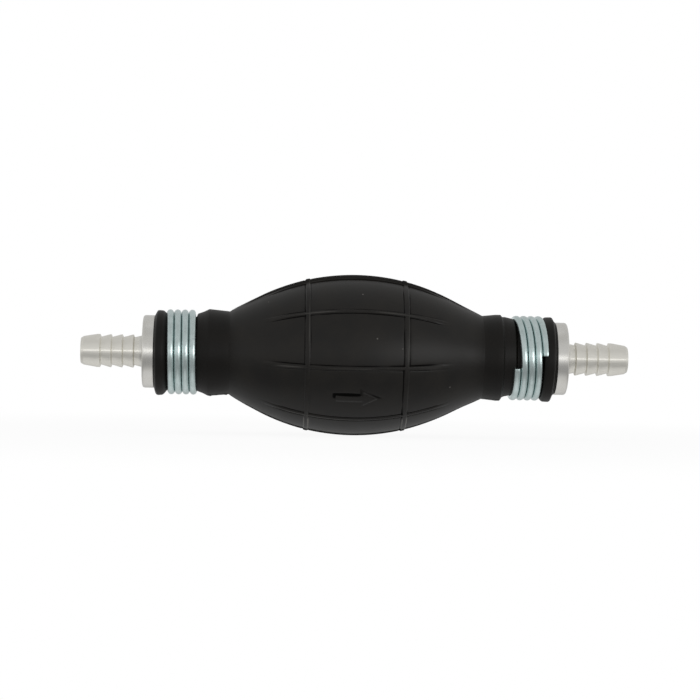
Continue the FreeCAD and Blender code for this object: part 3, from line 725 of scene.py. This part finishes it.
def moulding_outline():
    """Closed outline of the bulb's section: outside from inlet to outlet, then the inside back."""
    inlet = [Vector((-x, radius)) for x, radius in reversed(neck_points(INLET_NECK))]
    outlet = neck_points(OUTLET_NECK)
    lead_in = NOTCH_X - 1.5 * MM
    belly = [Vector((x, belly_surface(x))) for x in belly_rows() if abs(x) < lead_in]
    outside = inlet + belly + outlet
    return outside, bore_points()


outside_points, inside_points = moulding_outline()
print(f"moulding outline: {len(outside_points)} points outside, {len(inside_points)} inside")

# %% [markdown]
# The spin turns the outline from one parting line to the other. Each rib gets a few close steps, and
# the arrow a fine field of its own. After the spin every outside point is moved out or in by the
# relief at its place. Towards the necks the bulb is thinner, and a fixed angle would make the ribs
# narrower there, so the steps near a rib are first spread to keep its width.

# %% Steps of the spin
PLAIN_TURN = 2.2
ARROW_TURN = 0.65
ARROW_FIELD = 9.5
# Close steps beside each parting line, for its fin.
FIN_TURNS = (0, 0.25, 0.6)


def spin_angles(with_arrow):
    """Angles of the spin from the lower parting line to the upper one, in degrees."""
    angles = set()
    for rib_angle in RIB_ANGLES:
        for step in RIB_STEPS:
            turn = math.degrees(step / belly_radius)
            angles |= {round(rib_angle - turn, 4), round(rib_angle + turn, 4)}
    rib_field = math.degrees(RIB_STEPS[-1] / belly_radius)
    angle = PARTING_ANGLE - 180
    for turn in FIN_TURNS:
        angles |= {angle + turn, PARTING_ANGLE - turn}
    while angle < PARTING_ANGLE - 1:
        over_arrow = with_arrow and abs(angle - ARROW_ANGLE) < ARROW_FIELD
        angle += ARROW_TURN if over_arrow else PLAIN_TURN
        clear = all(abs(angle - rib_angle) > rib_field + 0.2 for rib_angle in RIB_ANGLES)
        if clear and angle < PARTING_ANGLE - 1:
            angles.add(round(angle, 4))
    return sorted(angles)


def spread_ribs(angle, radius):
    """Move an angle near a rib outwards, so the rib is as wide where the bulb is thin."""
    nearest = min(RIB_ANGLES, key=lambda rib_angle: abs(angle - rib_angle))
    offset = angle - nearest
    if offset == 0:
        return angle
    parting_line = PARTING_ANGLE if offset > 0 else PARTING_ANGLE - 180
    halfway = [
        abs(rib_angle - nearest) / 2
        for rib_angle in RIB_ANGLES if (rib_angle - nearest) * offset > 0
    ]
    room = min(halfway + [abs(parting_line - nearest)])
    field = math.degrees(RIB_STEPS[-1] / belly_radius)
    wide_field = field * belly_radius / max(radius, 9 * MM)
    if abs(offset) <= field:
        moved = abs(offset) * wide_field / field
    else:
        share = (abs(offset) - field) / (room - field)
        moved = wide_field + (room - wide_field) * min(share, 1.0)
    return nearest + math.copysign(moved, offset)


# %% [markdown]
# Small faults make the bulb look moulded and not drawn. The parting line stands up as a thin ragged fin,
# with a few lumps of flash under the necks. The rubber is uneven by a few hundredths of a millimetre,
# and the inlet's side of the belly is a little fuller below. The wire of the outlet was wound askew,
# which pushed the bead beside it askew as well.

# %% Faults of the moulding
UNEVENNESS = 0.05 * MM
UNEVEN_LENGTH = 9 * MM
FIN_HEIGHT = 0.07 * MM
FIN_WIDTH = 0.16 * MM
NECK_FIN_EXTRA = 0.5 * MM
# Place, height and length of each lump of flash under the necks.
NECK_FLASH = [
    (-41.2 * MM, 0.24 * MM, 0.5 * MM),
    (-39.5 * MM, 0.22 * MM, 0.5 * MM),
    (-38.2 * MM, 0.12 * MM, 0.7 * MM),
    (-36.6 * MM, 0.3 * MM, 0.7 * MM),
    (38.4 * MM, 0.1 * MM, 0.7 * MM),
    (40.2 * MM, 0.14 * MM, 0.6 * MM),
    (41.2 * MM, 0.16 * MM, 0.4 * MM),
]
UPPER_FLASH_SHARE = 0.3
# How much fuller the inlet's side of the belly is all round, and how much more below.
FULLNESS = (0.06 * MM, 0.16 * MM)
NECK_RISE = 0.3 * MM
BEAD_SAG = 0.28 * MM
BEAD_PUSH = 0.38 * MM


def parting_fin(x, edge_distance, below):
    """Height of the ragged fin along the parting line, with lumps of flash under the necks."""
    ragged = 0.9 + noise.noise(Vector((x / MM * 1.1, 7.3 if below else 2.1, 0)))
    lumps = sum(
        height * math.exp(-((x - place) / length) ** 2) for place, height, length in NECK_FLASH
    )
    flash = lumps * (1.0 if below else UPPER_FLASH_SHARE)
    width = FIN_WIDTH + (NECK_FIN_EXTRA if abs(x) > 35.5 * MM else 0)
    return (FIN_HEIGHT * ragged + flash) * math.exp(-(edge_distance / width) ** 2)


def fullness(x, up):
    """The belly is fuller towards the inlet than towards the outlet, most of all below."""
    side = max(-1.0, min(1.0, -x / (20 * MM))) * smooth_step((36 * MM - abs(x)) / (6 * MM))
    all_round, below = FULLNESS
    return side * (all_round + below * smooth_step(0.4 - up))


def neck_lean(x, up, radius):
    """The outlet's neck stands up a little beside the wire, and both beads hang down a little."""
    beside_wire = smooth_step((x - 41.8 * MM) / MM) * smooth_step((45.6 * MM - x) / (0.5 * MM))
    on_bead = smooth_step((abs(x) - 53.2 * MM) / MM)
    on_bead *= smooth_step((radius - 10.4 * MM) / (1.2 * MM))
    return (NECK_RISE * beside_wire - BEAD_SAG * on_bead) * up


def bead_shift(x, up, radius):
    """How far the outlet's bead is pushed along the axis by the wire that was wound askew."""
    on_bead = smooth_step((x - 52.8 * MM) / (0.8 * MM))
    on_bead *= smooth_step((radius - 9.4 * MM) / (1.6 * MM))
    return BEAD_PUSH * min(0.0, up) * on_bead


def points_of(geometry):
    """The points among mixed bmesh elements."""
    return [element for element in geometry if isinstance(element, bmesh.types.BMVert)]


def bulb_half(name, turn, with_arrow):
    """Half of the bulb: turn is 0 for the front half and 180 for the back half."""
    angles = spin_angles(with_arrow)
    even_step = 180 / (len(angles) - 1)
    bm = bmesh.new()
    layers = [bm.verts.layers.float.new(layer) for layer in ("tone", "dull")]
    outline = [bm.verts.new((point.x, -point.y, 0)) for point in outside_points + inside_points]
    edges = [bm.edges.new((a, b)) for a, b in zip(outline, outline[1:] + outline[:1])]
    bm.faces.new(outline)
    result = bmesh.ops.spin(
        bm, geom=outline + edges, axis=(-1, 0, 0), angle=math.pi, steps=len(angles) - 1,
    )
    bm.faces.new(points_of(result["geom_last"]))
    for vertex in bm.verts:
        even_angle = math.degrees(math.atan2(vertex.co.z, -vertex.co.y))
        column = round((even_angle % 360) / even_step) % (2 * len(angles) - 2)
        shape_rubber(vertex, angles[column], turn, with_arrow, *layers)
    return finished_object(name, bm, bulb_rubber)


def shape_rubber(vertex, angle, turn, with_arrow, tone_layer, dull_layer):
    """Put one point at its real angle, with its rib, crease, fin and unevenness."""
    x = vertex.co.x
    radius = math.hypot(vertex.co.y, vertex.co.z)
    on_belly = abs(x) < NOTCH_X
    inner_limit = belly_surface(x) - WALL / 2 if on_belly else LAND_RADIUS - 1.2 * MM
    up = math.sin(math.radians(angle + turn))
    out = 0.0
    if radius > inner_limit:
        edge_angle = min(PARTING_ANGLE - angle, angle - PARTING_ANGLE + 180)
        below = (angle < 0) == (turn == 0)
        if on_belly:
            relief, vertex[tone_layer] = surface_relief(x, angle, radius, with_arrow)
            vertex[dull_layer] = dull_shade(x, angle, with_arrow)
            angle = spread_ribs(angle, radius)
            uneven = UNEVENNESS * (noise.noise(vertex.co / UNEVEN_LENGTH) - 0.6)
            out = relief + uneven + fullness(x, up)
        if radius > LAND_RADIUS + 0.2 * MM:
            out += parting_fin(x, math.radians(edge_angle) * radius, below)
            out += neck_lean(x, up, radius)
        x += bead_shift(x, up, radius)
    slope = math.atan2(vertex.co.x, ARC_DROP + radius) if on_belly else 0.0
    radius += out * math.cos(slope)
    round_angle = math.radians(angle + turn)
    x += out * math.sin(slope)
    vertex.co = (x, -radius * math.cos(round_angle), radius * math.sin(round_angle))


bulb_front = bulb_half("bulb_front_half", 0, True)
bulb_back = bulb_half("bulb_back_half", 180, False)

# %% [markdown]
# Each half is baked where it stands, and the solids of the bulb and its walls are hidden.

# %% Bulb halves in place
for piece, body, side in ((bulb_front, "front_wall", -1), (bulb_back, "back_wall", 1)):
    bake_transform(piece)
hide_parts("bulb_body", "bulb_front_wall")
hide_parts("bulb_back_wall")

# %% [markdown]
# Each clamp is a length of wire wound almost four times round the neck. A spin that also moves along
# the axis makes such a coil in one operation: it drags a circle round and hands on every ring. The
# turns lean a little, because they were wound by hand, and a shear leans them without making the coil
# any tighter on the rubber. The cut ends get a small burr-free edge.

# %% Wire clamps
WINDING_STEPS_PER_TURN = 72
WIRE_SIDES = 24
CLAMP_WIRE = 2.02 * MM
CLAMP_PITCH = 2.1 * MM
CLAMP_TURNS = 3.95
CLAMP_END_ROUND = 0.16 * MM


def wound_wire(wire, coil_radius, pitch, turns, start_x, start_angle, end_round):
    """A length of wire wound round the axis of the pump."""
    bm = bmesh.new()
    bmesh.ops.create_circle(bm, segments=WIRE_SIDES, radius=wire / 2)
    bmesh.ops.translate(bm, vec=(start_x, -coil_radius, 0), verts=bm.verts)
    start = Matrix.Rotation(math.radians(-start_angle), 3, "X")
    bmesh.ops.rotate(bm, cent=(0, 0, 0), matrix=start, verts=bm.verts)
    first_ring = list(bm.verts)
    result = bmesh.ops.spin(
        bm, geom=bm.verts[:] + bm.edges[:], axis=(1, 0, 0), angle=turns * 2 * math.pi,
        dvec=(pitch / WINDING_STEPS_PER_TURN, 0, 0), steps=round(turns * WINDING_STEPS_PER_TURN),
    )
    for ring in (first_ring, points_of(result["geom_last"])):
        cap = bmesh.ops.contextual_create(bm, geom=ring)["faces"]
        rim = [edge for face in cap for edge in face.edges]
        bmesh.ops.bevel(
            bm, geom=rim, offset=end_round, segments=2, profile=0.5, affect="EDGES", material=-1,
        )
    return bm


def wire_clamp(name, start_x, start_angle, front_tilt, top_tilt):
    coil_radius = LAND_RADIUS + CLAMP_WIRE / 2
    bm = wound_wire(
        CLAMP_WIRE, coil_radius, CLAMP_PITCH, CLAMP_TURNS, start_x, start_angle, CLAMP_END_ROUND,
    )
    lean = Matrix.Identity(4)
    lean[0][1] = -math.tan(math.radians(front_tilt))
    lean[0][2] = math.tan(math.radians(top_tilt))
    bmesh.ops.transform(bm, matrix=lean, verts=bm.verts)
    piece = finished_object(name, bm, zinc_wire)
    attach(piece, "root")
    return piece


inlet_coil = wire_clamp("inlet_wire_clamp", -53.7 * MM, 165.0, 0.9, 0.9)
outlet_coil = wire_clamp("outlet_wire_clamp", 44.9 * MM, -15.0, 4.1, -1.0)
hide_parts("inlet_clamp")
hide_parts("outlet_clamp")

# %% [markdown]
# A fitting is turned in one piece: a spigot inside the neck, a flange that stops the rubber, and a
# stem with four barbs for the hose. The solid has the right sizes but knife-sharp edges, and a turned
# edge is always broken a little. So the outline is drawn once more with small rounds and spun a full
# turn. The inlet's fitting is the same piece turned end for end.

# %% Hose fittings
BORE_RADIUS = 2.8 * MM
POCKET_RADIUS = 6.0 * MM
BARB_RADIUS = 4.75 * MM
BARB_ROOT = 4.0 * MM
BARB_PITCH = 3.17 * MM
FIRST_CREST = 5.5 * MM
SPIGOT_END = 38.0 * MM
FLANGE_END = 60.7 * MM
FITTING_SPIN_STEPS = 144


def barb_corners():
    """Corners of the barbs from the flange to the tip. The tip's own crest has a wider land."""
    corners = []
    for number in (3, 2, 1, 0):
        crest = tip_x - FIRST_CREST - number * BARB_PITCH
        land = 0.3 * MM if number else 0.9 * MM
        corners += [
            (crest - 0.32 * MM, BARB_ROOT, 0.08 * MM),
            (crest, BARB_RADIUS, 0.1 * MM),
            (crest + land, BARB_RADIUS - 0.02 * MM, 0.12 * MM),
        ]
    return corners


def fitting_corners():
    spigot = [
        (SPIGOT_END, NECK_BORE - 0.4 * MM, 0.1 * MM),
        (SPIGOT_END + 0.4 * MM, NECK_BORE, 0.1 * MM),
    ]
    for foot in RIDGE_FEET:
        spigot += [(foot, NECK_BORE), (foot + 2.0 * MM, 8.3 * MM), (foot + 2.3 * MM, 8.3 * MM)]
        spigot += [(foot + 2.3 * MM, NECK_BORE)]
    flange = [
        (neck_end, NECK_BORE),
        (neck_end, flange_radius, 0.25 * MM),
        (FLANGE_END, flange_radius, 0.7 * MM),
        (FLANGE_END, 4.6 * MM, 0.25 * MM),
    ]
    tip = [(tip_x - 0.8 * MM, 4.1 * MM, 0.3 * MM), (tip_x, 3.6 * MM, 0.15 * MM)]
    passage = [
        (tip_x, BORE_RADIUS + 0.3 * MM, 0.1 * MM),
        (tip_x - 0.4 * MM, BORE_RADIUS),
        (54.0 * MM, BORE_RADIUS),
        (54.0 * MM, 4.6 * MM),
        (52.0 * MM, 4.6 * MM),
        (52.0 * MM, POCKET_RADIUS),
        (39.95 * MM, POCKET_RADIUS),
        (39.95 * MM, 6.5 * MM),
        (39.0 * MM, 6.5 * MM),
        (39.0 * MM, POCKET_RADIUS),
        (SPIGOT_END, POCKET_RADIUS),
    ]
    return spigot + flange + barb_corners() + tip + passage


def hose_fitting(name, end_for_end):
    bm = bmesh.new()
    points = rounded(fitting_corners())
    outline = [bm.verts.new((point.x, -point.y, 0)) for point in points]
    edges = [bm.edges.new((a, b)) for a, b in zip(outline, outline[1:] + outline[:1])]
    bmesh.ops.spin(
        bm, geom=outline + edges, axis=(1, 0, 0), angle=2 * math.pi, steps=FITTING_SPIN_STEPS,
        use_merge=True,
    )
    bmesh.ops.remove_doubles(bm, verts=bm.verts, dist=0.002 * MM)
    if end_for_end:
        half_turn = Matrix.Rotation(math.pi, 3, "Z")
        bmesh.ops.rotate(bm, cent=(0, 0, 0), matrix=half_turn, verts=bm.verts)
    piece = finished_object(name, bm, turned_aluminium, sharp_angle=40.0)
    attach(piece, "root")
    return piece


outlet_stem = hose_fitting("outlet_hose_fitting", False)
inlet_stem = hose_fitting("inlet_hose_fitting", True)
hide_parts("outlet_fitting")
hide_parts("inlet_fitting")

# %% [markdown]
# A valve spring gets shorter as its poppet lifts. It is wound like the clamps, from thin wire between
# the ends of its solid.

# %% Valve springs
SPRING_WIRE = 0.5 * MM
SPRING_RADIUS = 2.4 * MM
SPRING_TURNS = 3.25
SPRING_START_ANGLE = 180.0
SPRING_END_ROUND = 0.05 * MM


def valve_spring(end):
    low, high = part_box(f"{end}_valve_spring")
    start_x = low.x + SPRING_WIRE / 2
    pitch = (high.x - low.x - SPRING_WIRE) / SPRING_TURNS
    bm = wound_wire(
        SPRING_WIRE, SPRING_RADIUS, pitch, SPRING_TURNS, start_x, SPRING_START_ANGLE, SPRING_END_ROUND,
    )
    spring = finished_object(f"{end}_wound_spring", bm, spring_steel)
    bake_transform(spring)
    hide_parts(f"{end}_valve_spring")


valve_spring("inlet")
valve_spring("outlet")

# %% [markdown]
# The rest of the valves sits inside the fittings, out of sight, so these solids are shown as they are
# and only get their finishes.

# %% Finishes of the valve pieces
VALVE_FINISHES = {
    "valve_seat": valve_plastic,
    "seat_o_ring": seal_rubber,
    "poppet": poppet_plastic,
    "poppet_seal": seal_rubber,
    "valve_cage": valve_plastic,
    "snap_ring": ring_steel,
}
for end in ("inlet", "outlet"):
    for part, material in VALVE_FINISHES.items():
        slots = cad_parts[f"{end}_{part}"].material_slots
        for material_slot in slots:
            material_slot.material = material
        print(f"{end} {part}: {len(slots)} material slot")

# %% [markdown]
# The pump lies on a plain pale floor. The picture's background is pure white, so most of what the
# camera sees of the floor is its own white, with a share of real shading so that the shadow shows.
# Metal and rubber don't mirror the floor itself. They mirror the lower half of the world, which stands
# for the same pale paper without an edge, so no dark contact shadow creeps up the rubber.

# %% Floor
FLOOR_SIZE = 6.0
FLOOR_OWN_WHITE = 0.93


def make_floor():
    bm = bmesh.new()
    bmesh.ops.create_grid(bm, x_segments=8, y_segments=8, size=FLOOR_SIZE / 2)
    bmesh.ops.translate(bm, vec=(0, 0, floor_z), verts=bm.verts)
    finish = Finish("pale_floor")
    place = finish.add("TexCoord", None, None, output="Object")
    tone = finish.mix(finish.noise(place, 3.0), (0.84, 0.84, 0.84), (0.88, 0.88, 0.88))
    shaded = finish.add("BsdfDiffuse", None, {"Color": tone})
    own_white = finish.add("Emission", None, {"Color": (1, 1, 1, 1), "Strength": 1.0})
    distance = finish.add("VectorMath", {"operation": "LENGTH"}, {0: place}, output="Value")
    white = FLOOR_OWN_WHITE + (1.0 - FLOOR_OWN_WHITE) * distance.above(0.16, 0.16)
    camera_ray, _, transmission_ray = ray_kinds(finish)
    white *= camera_ray + transmission_ray
    shader = finish.add("MixShader", None, {0: white, 1: shaded, 2: own_white})
    floor = finished_object("floor", bm, finish.surface(shader))
    floor.visible_glossy = False


def ray_kinds(finish):
    """What kind of ray looks at a surface or at the world: camera, glossy or transmission."""
    return [
        finish.add("LightPath", None, None, output=f"Is {kind} Ray")
        for kind in ("Camera", "Glossy", "Transmission")
    ]


make_floor()

# %% [markdown]
# The light is a soft white tent. Metal shows what stands round it, and a tent that is equally bright
# everywhere makes metal look like paint, so the brightness here changes a little with height. The white
# background stands all round at the height of the pump. The camera sees it everywhere, and metal sees
# it as a bright line along its middle.

# %% World
# Brightness of the tent by height: 0 is straight down, 0.5 is level and 1 is straight up.
TENT_FRONT = [
    (0.0, 0.73), (0.16, 0.66), (0.22, 0.46), (0.26, 0.34), (0.39, 0.35), (0.43, 0.5), (0.47, 0.68),
    (0.49, 0.8), (0.56, 0.7), (0.6, 0.62), (0.75, 0.6), (0.83, 0.52), (0.92, 0.54), (1.0, 0.66),
]
TENT_BACK = [
    (0.0, 0.73), (0.22, 0.7), (0.3, 0.6), (0.38, 0.55), (0.49, 0.75), (0.56, 0.68), (0.62, 0.59),
    (0.85, 0.58), (1.0, 0.66),
]
BACKGROUND_EDGES = (0.492, 0.538)


def make_world():
    world = bpy.data.worlds.new("tent")
    world.use_nodes = True
    bpy.context.scene.world = world
    tent = Finish("tent", world.node_tree)
    direction = tent.add("TexCoord", None, None, output="Generated")
    up = tent.add("SeparateXYZ", None, {"Vector": direction}, output="Z")
    back = tent.add("SeparateXYZ", None, {"Vector": direction}, output="Y").above(0.15, 1.1)
    height = up.maths("ARCSINE", up) / math.pi + 0.5
    greys = [
        tent.add("ValToRGB", {"stops": [(at, (grey,) * 3) for at, grey in stops]}, {"Fac": height})
        for stops in (TENT_FRONT, TENT_BACK)
    ]
    bands = tent.add("Background", None, {"Color": tent.mix(back, *greys), "Strength": 1.0})
    white = tent.add("Background", None, {"Color": (1, 1, 1, 1), "Strength": 1.0})
    camera_ray, glossy_ray, transmission_ray = ray_kinds(tent)
    low, high = BACKGROUND_EDGES
    behind_pump = height.above(low, 0.01) * (1.0 - height.above(high, 0.02))
    share = camera_ray + (glossy_ray + transmission_ray) * behind_pump * (1.0 - camera_ray)
    shown = tent.add("MixShader", None, {0: share, 1: bands, 2: white})
    tent.add("OutputWorld", None, {"Surface": shown})


make_world()

# %% [markdown]
# The lamp above gives the floor its soft shadow. A second one stands low on the right. It gives the
# rubber a broad sheen and every turn of the wire a short bright spot, and a studio flag keeps it off the
# fittings. They get a low strip of light in front instead, which draws the fine bright line along them.

# %% Lamps
def area_lamp(name, place, size, watts, only=()):
    """A soft lamp that faces the pump. Where pieces are named, it lights only them."""
    data = bpy.data.lights.new(name, "AREA")
    data.shape = "RECTANGLE"
    data.size, data.size_y = size
    data.energy = watts
    lamp = bpy.data.objects.new(name, data)
    lamp.location = place
    lamp.rotation_euler = (-Vector(place)).to_track_quat("-Z", "Y").to_euler()
    bpy.context.collection.objects.link(lamp)
    if only:
        lit = bpy.data.collections.new(name + "_lights")
        for piece in only:
            lit.objects.link(piece)
        lamp.light_linking.receiver_collection = lit
    return lamp


key_lamp = area_lamp("key_lamp", (-0.1, 0.1, 1.0), (0.9, 0.7), 1.5)
key_lamp.visible_glossy = False
rubber_and_wire = (bulb_front, bulb_back, inlet_coil, outlet_coil)
area_lamp("right_lamp", (0.48, -0.58, 0.06), (0.6, 0.25), 0.9, only=rubber_and_wire)
area_lamp("front_strip", (0.0, -0.72, 0.025), (1.4, 0.07), 0.25, only=(inlet_stem, outlet_stem))
